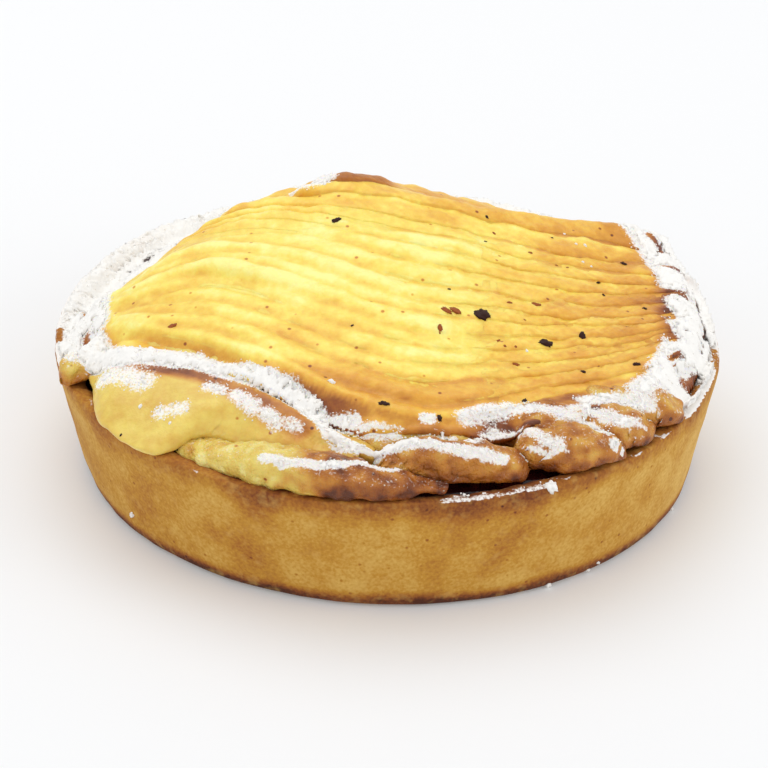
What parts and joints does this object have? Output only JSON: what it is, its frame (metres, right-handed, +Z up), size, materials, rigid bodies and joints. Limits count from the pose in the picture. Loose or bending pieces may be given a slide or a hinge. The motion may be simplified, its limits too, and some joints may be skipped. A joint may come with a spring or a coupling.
{
  "type": "apple tart",
  "caption": "Round single-serve tart: a shortcrust pastry case filled with jam and topped with a baked fan of overlapping thin apple slices.",
  "frame": {"origin": "centre of the flat base of the pastry case", "axes": "+Z up, +X along the apple slices, -Y to the front, where the fan of slices leans"},
  "size_m": [0.0997, 0.0997, 0.038],
  "materials": {
    "shortcrust": "baked shortcrust, matt, fine grained and mottled golden brown",
    "jam": "dark red jam, glossy",
    "apple": "baked peeled apple, smooth, moist and yellow with browned edges",
    "browned_apple": "well baked apple edges, golden brown",
    "icing_sugar": "powdered sugar, matt white and grainy",
    "burnt_speck": "small burnt specks of sugar and peel, nearly black"
  },
  "bodies": {
    "root": {"pastry_case": "shortcrust", "jam_filling": "jam", "apple_slice_01": "apple", "apple_slice_02": "apple", "apple_slice_03": "apple", "apple_slice_04": "apple", "apple_slice_05": "apple", "apple_slice_06": "apple", "apple_slice_07": "apple", "apple_slice_08": "apple", "apple_slice_09": "apple", "apple_slice_10": "apple", "apple_slice_11": "apple", "apple_slice_12": "apple", "apple_slice_13": "apple", "apple_slice_14": "apple", "apple_slice_15": "apple", "apple_slice_16": "apple", "apple_slice_17": "apple", "apple_slice_18": "apple", "apple_end_slice": "apple", "apple_slid_slice_1": "browned_apple", "apple_slid_slice_2": "browned_apple", "apple_slid_slice_3": "browned_apple", "apple_slid_slice_4": "browned_apple", "apple_slid_slice_5": "browned_apple", "apple_slid_slice_6": "browned_apple", "apple_slid_slice_7": "browned_apple"}
  },
  "joints": []
}
